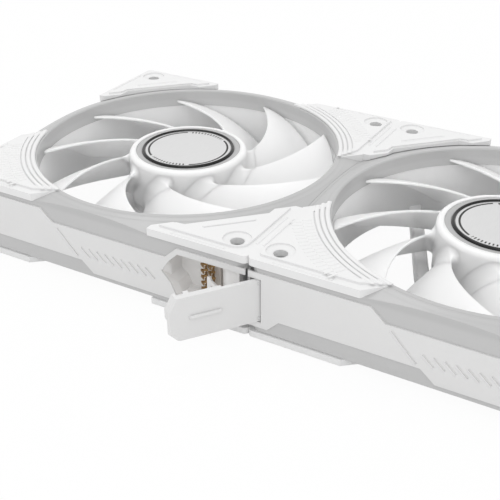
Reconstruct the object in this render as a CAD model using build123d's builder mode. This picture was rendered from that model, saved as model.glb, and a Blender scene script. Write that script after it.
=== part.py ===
"""Two 120 mm case fans standing edge to edge, joined by a hinged link cover.

Origin: middle of the joint between the two fans, on the underside of the lower corner pads.
+X runs along the pair, +Y to the rear, +Z up through the fans. Millimetres.
"""
import os
from math import cos, hypot, radians, sin, tan

from build123d import *

os.makedirs("parts", exist_ok=True)

# Fan body
fan_size = 120.0
hole_inset = 7.5
hole_spacing = fan_size - 2 * hole_inset
screw_hole_r = 2.25
base_pad_t = 2.9
frame_h = 23.3
top_pad_t = 3.3
corner_r = 4.0
panel_t = 0.5
skirt_t = 0.8
plate_t = 1.5
split_z = 14.5

# Air duct and its raised rim
duct_margin = 5.0
duct_r = fan_size / 2 - duct_margin
duct_wall = 1.2
collar_wall = 2.0
collar_z = 22.5
rim_top_z = base_pad_t + frame_h + 2.7
rim_outer_r = duct_r + 4.2
rim_outer_z = rim_top_z - 0.7
rim_foot_r = duct_r + 9.0
rim_groove_r = duct_r + 1.8
rim_groove_w = 0.5
rim_groove_d = 0.4
rim_edge_r = 0.25

# Rotor
blade_count = 9
tip_gap = 0.9
hub_r = 21.8
hub_wall = 2.2
hub_base_z = 10.0
hub_top_z = rim_top_z - 1.5
hub_roof_t = 1.8
hub_edge_r = 1.6
blade_top_t = 1.0
blade_low_t = 0.8
blade_camber = 0.09
blade_top_turn = (81.5, 70.0, -21.0)
blade_low_turn = (61.5, 22.0, 12.5)
blade_top_rise = (22.3, 5.0, -2.5)
blade_low_rise = (12.5, -11.0, 7.7)

# Hub trim
trim_depth = 0.8
ring_outer_r = hub_r - 2.5
bezel_outer_r = ring_outer_r - 2.1
disc_r = bezel_outer_r - 1.3
trim_gap = 0.1

# Motor
shaft_r = 1.5
run_gap = 0.05
seat_gap = 0.02
bearing_outer_r = 3.5
tube_wall = 1.2
motor_base_r = hub_r - 0.4
motor_base_t = 2.0
motor_rim_t = 1.2
rotor_base_gap = 0.6
yoke_t = 0.8
magnet_t = 1.8
air_gap = 0.4
strut_count = 4
strut_w = 4.7
strut_h = 4.5
strut_offset = motor_base_r + 3.0
strut_root = (-15.0, 14.5)
strut_turn = 114.0

# Corner pads
pad_leg = 36.0
pad_tip_w = 2.4
pad_shoulder = 7.4
pad_waist = 34.0
pad_waist_in = 7.6
pad_step = 0.7
pad_ledge = 2.8
pad_corner_r = 1.8
face_corner_r = 4.5
arc_pad_leg = 31.7
arc_pad_r = duct_r + 0.6
arc_end_angle = 20.2
arc_groove_rs = (duct_r + 5.6, duct_r + 3.9, duct_r + 2.2)
arc_groove_w = 0.5
arc_groove_d = 0.35
ledge_slot_low = 8.2
ledge_slot_high = 27.7
ledge_slot_w = 0.8
ledge_slot_d = 0.5
pad_line_sum = 28.1
pad_line_ends = (8.1, 20.0)
counterbore_r = 4.5
counterbore_depth = 1.2

# Side panels: heights of the white face and where its edges slope
panel_high_z = 24.4
panel_dip_z = 20.2
panel_low_z = 5.0
panel_rise_z = 9.0
groove_depth = 0.25
groove_w = 0.7
hatch_count = 9
hatch_pitch = 3.27
hatch_start_x = -3.6

# Connector bay and its contacts
bay_top_z = 22.4
bay_low_z = 7.0
bay_notch_x = fan_size / 2 - 31.3
bay_post_x = fan_size / 2 - 7.9
bay_depth = 9.0
tray_wall = 0.9
finger_rows = 5
finger_columns = 2
finger_w = 0.8
finger_t = 0.35

# Link cover
cover_t = 1.3
cover_length = 29.0
cover_top_z = 22.0
cover_low_z = 7.2
cover_open = 53.5
lip_t = 0.8
hinge_x = 3.4
hinge_pin_r = 0.6
barrel_r = 1.15
barrel_gap = 0.2
grip_start = 12.2
grip_end = 22.6
grip_z = 14.6
grip_h = 1.3
grip_t = 0.4

# Worked out from the sizes above
half = fan_size / 2
skin_half = half - panel_t
wall_half = skin_half - skirt_t
frame_low_z = base_pad_t
frame_top_z = base_pad_t + frame_h
total_z = frame_top_z + top_pad_t
plate_low_z = frame_top_z - plate_t
floor_top_z = frame_low_z + plate_t
hole_at = hole_spacing / 2
duct_outer_r = duct_r + duct_wall
collar_outer_r = duct_r + collar_wall
tip_r = duct_r - tip_gap
boss_r = 3.4
board_z = 22.0
board_t = 0.8
fans = {"left": -half, "right": half}


def write(part, name):
    """Label one finished piece and write it to its own file."""
    part.label = name
    export_step(part, f"parts/{name}.step")


def write_for_each_fan(part, name):
    """Write the same piece once for each fan, at that fan's centre."""
    for side, centre_x in fans.items():
        write(Pos(centre_x, 0, 0) * part, f"{side}_{name}")


def span(low_z, high_z):
    """The plane at the lower height and the distance up to the higher one."""
    return Plane.XY.offset(low_z), high_z - low_z


def panel_edge():
    """Outline of a side panel as points of width and height, seen from outside."""
    edge = half - panel_t
    return [
        (-edge, panel_high_z),
        (-20.0, panel_high_z),
        (-15.3, panel_dip_z),
        (half - 29.7, panel_dip_z),
        (half - 25.2, panel_high_z),
        (edge, panel_high_z),
        (edge, panel_low_z),
        (0.6, panel_low_z),
        (-4.0, panel_rise_z),
        (11.0 - half, panel_rise_z),
        (7.0 - half, panel_low_z),
        (-edge, panel_low_z),
    ]


def bay_edge(grow, right_x):
    """Outline of the connector bay's mouth, grown outwards by a margin."""
    return [
        (bay_notch_x - 1.3 * grow, 14.7),
        (half - 28.2 - 0.8 * grow, 19.2 + 0.6 * grow),
        (half - 24.9 - 0.4 * grow, bay_top_z + grow),
        (right_x, bay_top_z + grow),
        (right_x, bay_low_z - grow),
        (half - 26.1 - 0.6 * grow, bay_low_z - grow),
        (half - 27.9 - 0.9 * grow, 11.0 - 0.4 * grow),
    ]


def hinge_notch(grow):
    """Width limits of the recess that takes the link cover's hinge, on the right fan."""
    return hinge_x - half + barrel_r + barrel_gap + grow


# Swept prism through the front wall where the connector bay opens
with BuildPart() as bay_cut:
    with BuildSketch(Plane.XZ.offset(wall_half - 2.0)):
        Polygon(*bay_edge(tray_wall + 0.1, half + 1.0), align=None)
    extrude(amount=panel_t + skirt_t + 3.0)

# The same through the front wall where the hinge sits
with BuildPart() as hinge_cut:
    with BuildSketch(Plane.XZ.offset(wall_half - 3.0)):
        with Locations(((-half - 1.0 + hinge_notch(0.2)) / 2, (cover_top_z + cover_low_z) / 2)):
            Rectangle(hinge_notch(0.2) + half + 1.0, cover_top_z - cover_low_z + 0.6)
    extrude(amount=panel_t + skirt_t + 4.0)


def make_top_diffuser(has_hinge):
    """Upper translucent shell: top plate, raised rim, duct collar and side skirt."""
    with BuildPart() as shell:
        with BuildSketch(Plane.XZ):
            with BuildLine():
                Polyline(
                    (duct_r, collar_z),
                    (duct_r, rim_top_z - 0.4),
                    (duct_r + 0.4, rim_top_z),
                    (rim_groove_r, rim_top_z - 0.1),
                    (rim_groove_r, rim_top_z - rim_groove_d - 0.1),
                    (rim_groove_r + rim_groove_w, rim_top_z - rim_groove_d - 0.2),
                    (rim_groove_r + rim_groove_w, rim_top_z - 0.3),
                    (rim_outer_r - 0.6, rim_outer_z + 0.1),
                    (rim_outer_r, rim_outer_z - 0.2),
                    (rim_foot_r, frame_top_z),
                    (half * 1.5, frame_top_z),
                    (half * 1.5, plate_low_z),
                    (collar_outer_r, plate_low_z),
                    (collar_outer_r, collar_z),
                    close=True,
                )
            make_face()
        revolve(axis=Axis.Z)
        plane, height = span(frame_low_z, total_z)
        with BuildSketch(plane):
            RectangleRounded(2 * skin_half, 2 * skin_half, corner_r)
        extrude(amount=height, mode=Mode.INTERSECT)
        sides = shell.edges().filter_by(lambda e: e.center().Z > frame_top_z + 0.1)
        cut = [e for e in sides if max(abs(e.center().X), abs(e.center().Y)) > skin_half - 0.01]
        fillet(cut, rim_edge_r)
        plane, height = span(split_z, plate_low_z + 0.5)
        with BuildSketch(plane):
            RectangleRounded(2 * skin_half, 2 * skin_half, corner_r)
            RectangleRounded(2 * wall_half, 2 * wall_half, corner_r - skirt_t, mode=Mode.SUBTRACT)
        extrude(amount=height)
        with BuildSketch(Plane.XY):
            with GridLocations(hole_spacing, hole_spacing, 2, 2):
                Circle(screw_hole_r)
        extrude(amount=total_z, mode=Mode.SUBTRACT)
        add(bay_cut.part, mode=Mode.SUBTRACT)
        if has_hinge:
            add(hinge_cut.part, mode=Mode.SUBTRACT)
    return shell.part


def make_base_diffuser(has_hinge):
    """Lower translucent shell: floor plate round the duct, and side skirt."""
    with BuildPart() as shell:
        plane, height = span(frame_low_z, split_z)
        with BuildSketch(plane):
            RectangleRounded(2 * skin_half, 2 * skin_half, corner_r)
        extrude(amount=height)
        chamfer(shell.faces().sort_by(Axis.Z)[0].edges(), 0.4)
        plane, height = span(floor_top_z, split_z)
        with BuildSketch(plane):
            RectangleRounded(2 * wall_half, 2 * wall_half, corner_r - skirt_t)
        extrude(amount=height, mode=Mode.SUBTRACT)
        with BuildSketch(Plane.XY):
            Circle(duct_outer_r + 0.1)
            with GridLocations(hole_spacing, hole_spacing, 2, 2):
                Circle(screw_hole_r)
        extrude(amount=total_z, mode=Mode.SUBTRACT)
        add(bay_cut.part, mode=Mode.SUBTRACT)
        if has_hinge:
            add(hinge_cut.part, mode=Mode.SUBTRACT)
    return shell.part


for side in fans:
    write(Pos(fans[side], 0, 0) * make_top_diffuser(side == "right"), f"{side}_top_diffuser")
    write(Pos(fans[side], 0, 0) * make_base_diffuser(side == "right"), f"{side}_base_diffuser")


# Four struts leave the motor base along its edge and reach the duct near the corners
def polar(radius, angle):
    """A point in the plane from its radius and angle in degrees."""
    return (radius * cos(radians(angle)), radius * sin(radians(angle)))


motor_rim_top_z = hub_base_z - rotor_base_gap
tube_outer_r = bearing_outer_r + tube_wall
board_seat_z = frame_low_z + motor_base_t + 1.2
tube_top_z = 19.5

strut_mid_r = duct_r + duct_wall / 2
strut_reach = (strut_mid_r**2 - strut_offset**2) ** 0.5

with BuildPart() as strut:
    with BuildSketch(Plane.XY.offset(frame_low_z)):
        with BuildLine():
            Line((strut_reach, strut_offset), (strut_w, strut_offset))
            TangentArc((strut_w, strut_offset), strut_root, tangent=(-1, 0))
        trace(line_width=strut_w)
    extrude(amount=strut_h)
    with BuildSketch(Plane.XY):
        Circle(strut_mid_r)
    extrude(amount=total_z, mode=Mode.INTERSECT)
    fillet(strut.faces().sort_by(Axis.Z)[-1].edges().filter_by(lambda e: e.length > 2 * strut_w), 0.9)

with BuildPart() as frame:
    plane, height = span(frame_low_z, collar_z)
    with BuildSketch(plane):
        Circle(duct_outer_r)
        Circle(duct_r, mode=Mode.SUBTRACT)
    extrude(amount=height)
    for index in range(strut_count):
        add(Rot(0, 0, strut_turn + index * 360 / strut_count) * strut.part)
    with BuildSketch(Plane.XY):
        Circle(motor_base_r - 0.4)
    extrude(amount=board_seat_z, mode=Mode.SUBTRACT)
    plane, height = span(frame_low_z, motor_rim_top_z)
    with BuildSketch(plane):
        Circle(motor_base_r)
    extrude(amount=height)
    plane, height = span(frame_low_z + motor_base_t, motor_rim_top_z)
    with BuildSketch(plane):
        Circle(motor_base_r - motor_rim_t)
    extrude(amount=height, mode=Mode.SUBTRACT)
    plane, height = span(frame_low_z, board_seat_z)
    with BuildSketch(plane):
        Circle(tube_outer_r + 1.5)
    extrude(amount=height)
    plane, height = span(frame_low_z, tube_top_z)
    with BuildSketch(plane):
        Circle(tube_outer_r)
    extrude(amount=height)
    with BuildSketch(Plane.XY):
        Circle(bearing_outer_r)
    extrude(amount=total_z, mode=Mode.SUBTRACT)
    plane, height = span(floor_top_z, plate_low_z)
    with BuildSketch(plane):
        with GridLocations(hole_spacing, hole_spacing, 2, 2):
            Circle(boss_r)
    extrude(amount=height)
    plane, height = span(floor_top_z, board_z - 1.0)
    with BuildSketch(plane):
        for angle in (45, 135, 225, 315):
            with Locations(Pos(*polar((duct_r + hypot(hole_at, hole_at)) / 2, angle)) * Rot(0, 0, angle)):
                Rectangle(hypot(hole_at, hole_at) - duct_r - 1.0, 2.4)
    extrude(amount=height)
    with BuildSketch(Plane.XY):
        with GridLocations(hole_spacing, hole_spacing, 2, 2):
            Circle(screw_hole_r)
    extrude(amount=total_z, mode=Mode.SUBTRACT)

write_for_each_fan(frame.part, "frame")


# Side panels
with BuildSketch(Plane.XZ.offset(half)) as grooves:
    with BuildLine() as strokes:
        Line((-13.2, 18.7), (-5.2, 10.3))
        for index in range(hatch_count):
            x = hatch_start_x + index * hatch_pitch
            Line((x, 14.1), (x + 3.5, 10.9))
    trace(line_width=groove_w)


def make_front_panel(has_hinge):
    """White face with the bay's mouth, and the hinge recess on the right fan."""
    with BuildPart() as panel:
        with BuildSketch(Plane.XZ.offset(skin_half)):
            Polygon(*panel_edge(), align=None)
            Polygon(*bay_edge(0, half + 1.0), align=None, mode=Mode.SUBTRACT)
        extrude(amount=panel_t)
        extrude(grooves.sketch, amount=-groove_depth, mode=Mode.SUBTRACT)
        if has_hinge:
            add(hinge_cut.part, mode=Mode.SUBTRACT)
    return panel.part


for side in fans:
    write(Pos(fans[side], 0, 0) * make_front_panel(side == "right"), f"{side}_front_panel")

with BuildPart() as plain_panel:
    with BuildSketch(Plane.XZ.offset(skin_half)):
        Polygon(*panel_edge(), align=None)
    extrude(amount=panel_t)
    extrude(grooves.sketch, amount=-groove_depth, mode=Mode.SUBTRACT)

write_for_each_fan(Rot(0, 0, 180) * plain_panel.part, "rear_panel")
write(Pos(-half, 0, 0) * Rot(0, 0, -90) * plain_panel.part, "left_end_panel")
write(Pos(half, 0, 0) * Rot(0, 0, 90) * plain_panel.part, "right_end_panel")


# The space over the plate that the raised rim fills
with BuildPart() as rim_clearance:
    with BuildSketch(Plane.XZ):
        with BuildLine():
            Polyline(
                (duct_r - 2.0, frame_top_z - 1.0),
                (duct_r - 2.0, rim_top_z + trim_gap),
                (rim_groove_r + rim_groove_w, rim_top_z + trim_gap),
                (rim_outer_r, rim_outer_z + trim_gap),
                (rim_foot_r + 2 * trim_gap, frame_top_z),
                (rim_foot_r + 2 * trim_gap, frame_top_z - 1.0),
                close=True,
            )
        make_face()
    revolve(axis=Axis.Z)

# Corner pads, each drawn in the +X +Y corner; sizes run inwards from that corner's two sides
def from_corner(*points):
    """Points measured inwards from the two outer sides of the corner."""
    return [(half - x, half - y) for x, y in points]


def there_and_back(points):
    """The points, followed by their mirror image across the corner's diagonal."""
    return points + [(y, x) for x, y in reversed(points)]


def straight_base():
    """Lower layer with blunt ends and a waist that clears the rim."""
    side = [(0, 0), (0, pad_leg), (pad_tip_w, pad_leg)]
    side += [(pad_shoulder, pad_leg + pad_tip_w - pad_shoulder)]
    side += [(pad_waist_in, pad_waist - pad_waist_in)]
    return there_and_back(from_corner(*side))[:-1]


def straight_face():
    """Raised face of the straight pad, wider at its two ends."""
    tip = (pad_ledge, pad_leg - pad_ledge)
    side = [(pad_ledge, pad_ledge), tip, (tip[0] + pad_step, tip[1] - pad_step)]
    side += [(pad_shoulder - pad_step, pad_leg - pad_shoulder + pad_step)]
    side += [(pad_waist_in - pad_step, pad_waist - pad_waist_in)]
    return there_and_back(from_corner(*side))[:-1]


def pad_outline(inset, has_arc):
    """Outline of one layer of a pad."""
    with BuildSketch() as outline:
        if has_arc:
            near = polar(arc_pad_r, arc_end_angle)
            far = polar(arc_pad_r, 90 - arc_end_angle)
            end = half - arc_pad_leg + inset / 2
            with BuildLine():
                Polyline(near, (half - inset, end), (half - inset, half - inset), (end, half - inset), far)
                ThreePointArc(far, polar(arc_pad_r, 45), near)
            make_face()
        else:
            Polygon(*(straight_face() if inset else straight_base()), align=None)
        corner = outline.vertices().sort_by(lambda v: v.X + v.Y)[-1]
        if inset and has_arc:
            chamfer(corner, pad_step)
        else:
            fillet(corner, face_corner_r if inset else pad_corner_r)
    return outline.sketch


def make_pad(low_z, thickness, has_arc, is_top):
    """One pad: base layer, raised face, slots in the ledge, grooves and the screw hole."""
    base_t = thickness - pad_step
    face_z = low_z + (base_t if is_top else 0)
    with BuildPart() as pad:
        with BuildSketch(Plane.XY.offset(low_z + (0 if is_top else pad_step))):
            add(pad_outline(0, has_arc))
        extrude(amount=base_t)
        with BuildSketch(Plane.XY.offset(face_z)):
            add(pad_outline(pad_ledge, has_arc))
        extrude(amount=pad_step)
        with BuildSketch(Plane.XY.offset(low_z)):
            with Locations((hole_at, hole_at)):
                Circle(screw_hole_r)
        extrude(amount=thickness, mode=Mode.SUBTRACT)
        if is_top:
            with BuildSketch(Plane.XY.offset(total_z)):
                with Locations((hole_at, hole_at)):
                    Circle(counterbore_r)
            extrude(amount=-counterbore_depth, mode=Mode.SUBTRACT)
            slot_at = half - (ledge_slot_low + ledge_slot_high) / 2
            slot_side = half - pad_ledge / 2 + 0.2
            with BuildSketch(Plane.XY.offset(low_z + base_t)):
                with Locations((slot_at, slot_side)):
                    Rectangle(ledge_slot_high - ledge_slot_low, ledge_slot_w)
                with Locations((slot_side, slot_at)):
                    Rectangle(ledge_slot_w, ledge_slot_high - ledge_slot_low)
            extrude(amount=-ledge_slot_d, mode=Mode.SUBTRACT)
            with BuildSketch(Plane.XY.offset(total_z)) as lines:
                if has_arc:
                    for radius in arc_groove_rs:
                        Circle(radius + arc_groove_w / 2)
                        Circle(radius - arc_groove_w / 2, mode=Mode.SUBTRACT)
                else:
                    with BuildLine():
                        Line(*from_corner(*[(x, pad_line_sum - x) for x in pad_line_ends]))
                    trace(line_width=arc_groove_w)
            extrude(amount=-arc_groove_d, mode=Mode.SUBTRACT)
            add(rim_clearance.part, mode=Mode.SUBTRACT)
    return pad.part


corner_turns = {(1, 1): 0, (-1, 1): 90, (-1, -1): 180, (1, -1): 270}
curved_corners = ((1, 1), (-1, -1))
straight_corners = ((-1, 1), (1, -1))


def pad_at(corner, low_z, thickness, is_top):
    """The pad of one corner; two opposite corners have a curved inner edge."""
    pad = make_pad(low_z, thickness, corner in curved_corners, is_top)
    return Rot(0, 0, corner_turns[corner]) * pad


for name, pair in (("curved_pads", curved_corners), ("straight_pads", straight_corners)):
    write_for_each_fan(Compound([pad_at(c, frame_top_z, top_pad_t, True) for c in pair]), name)

base_pads = Compound([pad_at(corner, 0, base_pad_t, False) for corner in corner_turns])
write_for_each_fan(base_pads, "base_pads")


# Rotor: hub cup with swept, twisted blades
def along_blade(radius, terms):
    """An angle or height from its value at the hub and how it grows towards the tip."""
    t = (radius - hub_r) / (tip_r - hub_r)
    start, slope, bend = terms
    return start + slope * t + bend * t * t


def blade_section(radius):
    """Closed cambered profile of the blade on a plane square to the radius."""
    top_angle = along_blade(radius, blade_top_turn)
    low_angle = along_blade(radius, blade_low_turn)
    top_z = along_blade(radius, blade_top_rise)
    low_z = along_blade(radius, blade_low_rise)
    mid_angle = (top_angle + low_angle) / 2
    reach = radius * tan(radians(top_angle - mid_angle))
    centre = polar(radius, mid_angle)
    facing = Vector(cos(radians(mid_angle)), sin(radians(mid_angle)), 0)
    along = Vector(-facing.Y, facing.X, 0)
    plane = Plane(origin=(*centre, 0), x_dir=along, z_dir=facing)
    chord = hypot(2 * reach, top_z - low_z)
    rise_x, rise_z = 2 * reach / chord, (top_z - low_z) / chord
    face_x, face_z = -rise_z, rise_x
    middle = (0, (top_z + low_z) / 2)

    def point(share, side):
        """A point a share of the way up the chord, on one face of the blade."""
        bow = blade_camber * chord * 4 * share * (1 - share)
        thick = blade_low_t + (blade_top_t - blade_low_t) * share
        off = bow + side * thick / 2
        run = (share - 0.5) * chord
        return (middle[0] + run * rise_x + off * face_x, middle[1] + run * rise_z + off * face_z)

    shares = (0.0, 0.5, 1.0)
    with BuildSketch(plane) as section:
        with BuildLine():
            Spline(*[point(share, 1) for share in shares])
            top_edge = (point(1.0, 1), point(1.0 + 0.5 * blade_top_t / chord, 0), point(1.0, -1))
            ThreePointArc(*top_edge)
            Spline(*[point(share, -1) for share in reversed(shares)])
            Line(point(0.0, -1), point(0.0, 1))
        make_face()
    return section.sketch


section_radii = (hub_r - hub_wall * 0.6, hub_r + 9.2, hub_r + 20.2, tip_r + 0.3)

with BuildPart() as blade:
    for radius in section_radii:
        add(blade_section(radius))
    loft()
    with BuildSketch(Plane.XY):
        Circle(tip_r)
    extrude(amount=total_z, mode=Mode.INTERSECT)

inner_hub_r = hub_r - hub_wall
roof_low_z = hub_top_z - trim_depth - hub_roof_t

with BuildPart() as rotor:
    with BuildSketch(Plane.XZ):
        with BuildLine():
            Polyline(
                (0, roof_low_z),
                (inner_hub_r, roof_low_z),
                (inner_hub_r, hub_base_z),
                (hub_r, hub_base_z),
                (hub_r, hub_top_z - hub_edge_r),
            )
            RadiusArc((hub_r, hub_top_z - hub_edge_r), (hub_r - hub_edge_r, hub_top_z), -hub_edge_r)
            Polyline(
                (hub_r - hub_edge_r, hub_top_z),
                (ring_outer_r, hub_top_z),
                (ring_outer_r, hub_top_z - trim_depth),
                (0, hub_top_z - trim_depth),
                (0, roof_low_z),
            )
        make_face()
    revolve(axis=Axis.Z)
    with PolarLocations(0, blade_count):
        add(blade.part)

write_for_each_fan(rotor.part, "rotor")

# Trim let into the top of the hub
trim_floor_z = hub_top_z - trim_depth


def ring_part(inner_r, outer_r, low_z, high_z):
    """A plain ring, or a disc where the inner radius is zero."""
    plane, height = span(low_z, high_z)
    with BuildPart() as ring:
        with BuildSketch(plane):
            Circle(outer_r)
            if inner_r > 0:
                Circle(inner_r, mode=Mode.SUBTRACT)
        extrude(amount=height)
    return ring.part


write_for_each_fan(
    ring_part(bezel_outer_r, ring_outer_r - trim_gap, trim_floor_z, hub_top_z - 0.35), "hub_ring"
)
write_for_each_fan(
    ring_part(disc_r, bezel_outer_r - trim_gap, trim_floor_z, hub_top_z + 0.1), "badge_bezel"
)
write_for_each_fan(ring_part(0, disc_r - trim_gap, trim_floor_z, hub_top_z - 0.1), "badge_disc")

# Motor parts that turn with the rotor
yoke_outer_r = inner_hub_r - seat_gap
magnet_outer_r = yoke_outer_r - yoke_t - seat_gap
magnet_inner_r = magnet_outer_r - magnet_t
shaft_low_z = frame_low_z + 1.8
bearing_low_z = board_seat_z
washer_t = 0.4
plug_t = 1.4

with BuildPart() as yoke:
    with BuildSketch(Plane.XZ):
        with BuildLine():
            Polyline(
                (shaft_r + seat_gap, roof_low_z),
                (yoke_outer_r, roof_low_z),
                (yoke_outer_r, hub_base_z + 0.6),
                (yoke_outer_r - yoke_t, hub_base_z + 0.6),
                (yoke_outer_r - yoke_t, roof_low_z - yoke_t),
                (shaft_r + yoke_t, roof_low_z - yoke_t),
                (shaft_r + yoke_t, roof_low_z - 3 * yoke_t),
                (shaft_r + seat_gap, roof_low_z - 3 * yoke_t),
                close=True,
            )
        make_face()
    revolve(axis=Axis.Z)

write_for_each_fan(yoke.part, "yoke")
write_for_each_fan(
    ring_part(magnet_inner_r, magnet_outer_r, hub_base_z + 1.2, roof_low_z - 2.0), "magnet_ring"
)
write_for_each_fan(ring_part(0, shaft_r, shaft_low_z, roof_low_z), "shaft")
write_for_each_fan(
    ring_part(shaft_r + seat_gap, 2.8, bearing_low_z - 0.3 - washer_t, bearing_low_z - 0.3),
    "retaining_washer",
)

# Motor parts that stay with the frame
write_for_each_fan(
    ring_part(shaft_r + run_gap, bearing_outer_r - seat_gap, bearing_low_z, tube_top_z), "bearing"
)
write_for_each_fan(
    ring_part(0, bearing_outer_r - seat_gap, frame_low_z, frame_low_z + plug_t), "bearing_plug"
)

core_outer_r = magnet_inner_r - air_gap
core_inner_r = tube_outer_r + seat_gap
core_low_z = 11.5
core_high_z = 18.5
pole_w = 4.6
pole_count = 4
shoe_t = 1.6
coil_t = 1.8
coil_start = 7.8

with BuildPart() as core:
    plane, height = span(core_low_z, core_high_z)
    with BuildSketch(plane):
        Circle(core_outer_r)
        Circle(core_outer_r - shoe_t, mode=Mode.SUBTRACT)
        with PolarLocations(core_outer_r, pole_count, start_angle=180 / pole_count):
            Rectangle(3 * shoe_t, 2.6, mode=Mode.SUBTRACT)
        Circle(coil_start - 0.3)
        with PolarLocations((core_outer_r - shoe_t / 2) / 2, pole_count):
            Rectangle(core_outer_r - shoe_t / 2, pole_w)
        Circle(core_inner_r, mode=Mode.SUBTRACT)
    extrude(amount=height)

write_for_each_fan(core.part, "stator_core")

coil_length = core_outer_r - shoe_t - coil_start - 0.6
with BuildPart() as windings:
    with BuildSketch(Plane.YZ.offset(coil_start)):
        with Locations((0, (core_low_z + core_high_z) / 2)):
            RectangleRounded(pole_w + 2 * coil_t, core_high_z - core_low_z + 2 * coil_t, coil_t)
            Rectangle(
                pole_w + 2 * trim_gap, core_high_z - core_low_z + 2 * trim_gap, mode=Mode.SUBTRACT
            )
    extrude(amount=coil_length)

coils = Compound([Rot(0, 0, index * 360 / pole_count) * windings.part for index in range(pole_count)])
write_for_each_fan(coils, "windings")

with BuildPart() as motor_board:
    plane, height = span(board_seat_z, board_seat_z + 1.0)
    with BuildSketch(plane):
        Circle(motor_base_r - motor_rim_t - 0.6)
        Circle(tube_outer_r + trim_gap, mode=Mode.SUBTRACT)
    extrude(amount=height)
    with BuildSketch(Plane.XY.offset(board_seat_z + 1.0)):
        with Locations((0, 13.0)):
            Rectangle(5.0, 4.0)
        with Locations((12.5, -4.0), (-9.0, -9.0)):
            Rectangle(2.4, 1.6)
    extrude(amount=1.2)

write_for_each_fan(motor_board.part, "motor_board")

# Light boards in the corners, between the duct and the skirt
lamp_r = duct_r + 5.2
board_reach = 30.0
board_gap = 0.4
lamp_size = 2.8
lamp_t = 1.4
tray_back = skin_half - bay_depth


def light_board(corner):
    """The board of one corner; the one over the connector bay is cut back."""
    turn = corner_turns[corner]
    with BuildPart() as board:
        with BuildSketch(Plane.XY.offset(board_z)):
            low, high = half - board_reach, wall_half - board_gap
            with Locations(((low + high) / 2, (low + high) / 2)):
                RectangleRounded(high - low, high - low, 2.8)
            Circle(collar_outer_r + board_gap, mode=Mode.SUBTRACT)
            with Locations((hole_at, hole_at)):
                Circle(boss_r + trim_gap, mode=Mode.SUBTRACT)
        extrude(amount=board_t)
    placed = Rot(0, 0, turn) * board.part
    if corner == (1, -1):
        cut_w, cut_depth = 2 * (half - bay_notch_x), 2 * (half - tray_back + board_gap)
        placed = placed - Pos(half, -half, board_z) * Box(cut_w, cut_depth, total_z)
    return placed


def lamps(corner):
    """Three light chips on one corner's board."""
    chips = []
    for spread in (-8, 0, 8):
        angle = 45 + corner_turns[corner] + spread
        place = Pos(*polar(lamp_r, angle), board_z + board_t + lamp_t / 2) * Rot(0, 0, angle)
        chips.append(place * Box(lamp_size, lamp_size, lamp_t))
    return chips


boards = Compound([light_board(corner) for corner in corner_turns])
chips = Compound([chip for corner in corner_turns for chip in lamps(corner)])
write_for_each_fan(boards, "light_boards")
write_for_each_fan(chips, "light_chips")

# Connector bay: a tray behind the front panel, its wall curved round the screw boss
tray_right_x = half - 3.3
boss_clear_r = boss_r + 0.3
boss_clear_x = hole_at - boss_clear_r
shallow_back = hole_at + boss_clear_r
tray_turn = 1.2
door_recess = cover_t + 0.1
pocket_front = half - 2.7
keeper_front = half - cover_t - lip_t - 0.15
keeper_t = 0.8
keeper_w = 1.4
keeper_x = half - 15.6
keeper_top_z = 16.0
pocket_edge = [
    (half - 29.4, 12.4),
    (half - 28.8, 18.6),
    (half - 24.9, bay_top_z),
    (bay_post_x, bay_top_z),
    (bay_post_x, bay_low_z),
    (half - 25.1, bay_low_z),
    (half - 27.0, 10.4),
]


def bay_block(inset, right_x):
    """The tray's outline in plan over its whole height, with its walls moved in."""
    back = -(tray_back + inset)
    shallow = -(shallow_back + inset)
    turn_x = min(hole_at, right_x)
    corners = [
        (bay_notch_x - 3.0, -half),
        (bay_notch_x - 3.0, back),
        (boss_clear_x - inset, back),
        (boss_clear_x - inset, back - tray_turn),
        (turn_x, back - 2 * tray_turn),
        (turn_x, shallow),
        (right_x, shallow),
        (right_x, -half),
    ]
    with BuildPart() as block:
        with BuildSketch(Plane.XY):
            Polygon(*dict.fromkeys(corners), align=None)
            with Locations((hole_at, -hole_at)):
                Circle(boss_clear_r + inset, mode=Mode.SUBTRACT)
        extrude(amount=total_z)
    return block.part


with BuildPart() as bay_hollow:
    for depth, edge in ((skin_half, bay_edge(0, bay_post_x)), (pocket_front, pocket_edge)):
        with BuildSketch(Plane.XZ.offset(depth)):
            Polygon(*edge, align=None)
    loft(ruled=True)
    with BuildSketch(Plane.XZ.offset(pocket_front)):
        Polygon(*pocket_edge, align=None)
    extrude(amount=-bay_depth)
    add(bay_block(tray_wall, bay_post_x), mode=Mode.INTERSECT)

with BuildPart() as bay_tray:
    with BuildSketch(Plane.XZ.offset(skin_half)):
        Polygon(*bay_edge(tray_wall, tray_right_x), align=None)
    extrude(amount=-bay_depth)
    add(bay_block(0, tray_right_x), mode=Mode.INTERSECT)
    add(bay_hollow.part, mode=Mode.SUBTRACT)
    with BuildSketch(Plane.XZ.offset(half - door_recess)):
        with Locations(((bay_post_x - 0.1 + half) / 2, (bay_low_z + bay_top_z) / 2)):
            Rectangle(half - bay_post_x + 0.2, bay_top_z - bay_low_z)
    extrude(amount=door_recess, mode=Mode.SUBTRACT)

# A hooked keeper stands on the tray's floor in front of the contacts
with BuildPart() as keeper:
    with BuildSketch(Plane.XZ.offset(keeper_front)):
        Polygon(
            (keeper_x, bay_low_z - 0.3),
            (keeper_x + keeper_w, bay_low_z - 0.3),
            (keeper_x + keeper_w, keeper_top_z - 2.8),
            (keeper_x + 3 * keeper_w, keeper_top_z - 4.3),
            (keeper_x + 3 * keeper_w, keeper_top_z - 3.1),
            (keeper_x + keeper_w, keeper_top_z - 1.2),
            (keeper_x + keeper_w - 0.2, keeper_top_z),
            (keeper_x, keeper_top_z),
            align=None,
        )
    extrude(amount=-keeper_t)

write_for_each_fan(bay_tray.part + keeper.part, "connector_bay")

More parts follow.
